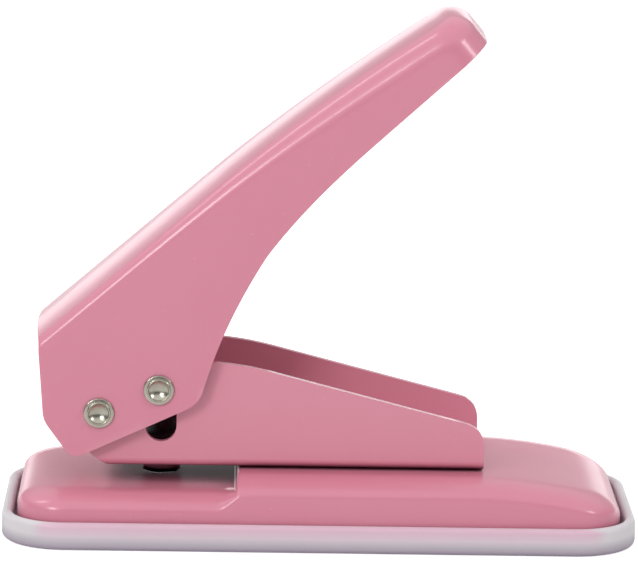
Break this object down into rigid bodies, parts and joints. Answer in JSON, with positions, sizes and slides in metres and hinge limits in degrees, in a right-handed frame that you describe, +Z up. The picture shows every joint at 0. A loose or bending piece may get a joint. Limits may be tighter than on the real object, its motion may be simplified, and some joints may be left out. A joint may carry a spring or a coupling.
{
  "type": "hole punch",
  "caption": "Single-hole desk punch with a long lever over a riveted channel, a stepped paper throat and a clip-on chip tray.",
  "frame": {"origin": "middle of the tray's underside, on the surface the punch stands on", "axes": "+X along the base from the open throat end to the lever's grip end, +Y across it, +Z up"},
  "size_m": [0.1104, 0.0454, 0.0915],
  "materials": {
    "pink_paint": "glossy pink enamel",
    "plated_steel": "bright nickel plate",
    "ground_steel": "ground and hardened",
    "black_steel": "hardened, blackened and oiled",
    "tray_plastic": "translucent clear plastic, slightly milky"
  },
  "bodies": {
    "base": {"base_cover": "pink_paint", "die_plate": "ground_steel", "frame_channel": "pink_paint", "frame_rivet_1": "plated_steel", "frame_rivet_2": "plated_steel", "frame_rivet_3": "plated_steel", "return_spring": "black_steel"},
    "lever_set": {"lever": "pink_paint", "pivot_pin": "plated_steel", "pivot_washer_near": "plated_steel", "pivot_washer_far": "plated_steel", "drive_pin": "plated_steel", "drive_washer_near": "plated_steel", "drive_washer_far": "plated_steel"},
    "punch_set": {"punch": "black_steel", "spring_washer": "black_steel"},
    "tray": {"chip_tray": "tray_plastic"}
  },
  "joints": [
    {"name": "lever_hinge", "type": "hinge", "parent": "base", "child": "lever_set", "pos_m": [-0.0384, 0, 0.0224], "axis": [0, 1, 0], "range_deg": [0, 36], "stiffness_Nm_per_rad": 0.25, "springref_deg": -22.92},
    {"name": "punch_travel", "type": "slide", "parent": "base", "child": "punch_set", "axis": [0, 0, -1], "range_m": [0, 0.007], "deforming": ["return_spring"]},
    {"name": "tray_pull", "type": "slide", "parent": "base", "child": "tray", "axis": [0, 0, -1], "range_m": [0, 0.012]}
  ],
  "couplings": [
    {"joint": "punch_travel", "follows": "lever_hinge", "m_per_rad": 0.0109}
  ]
}
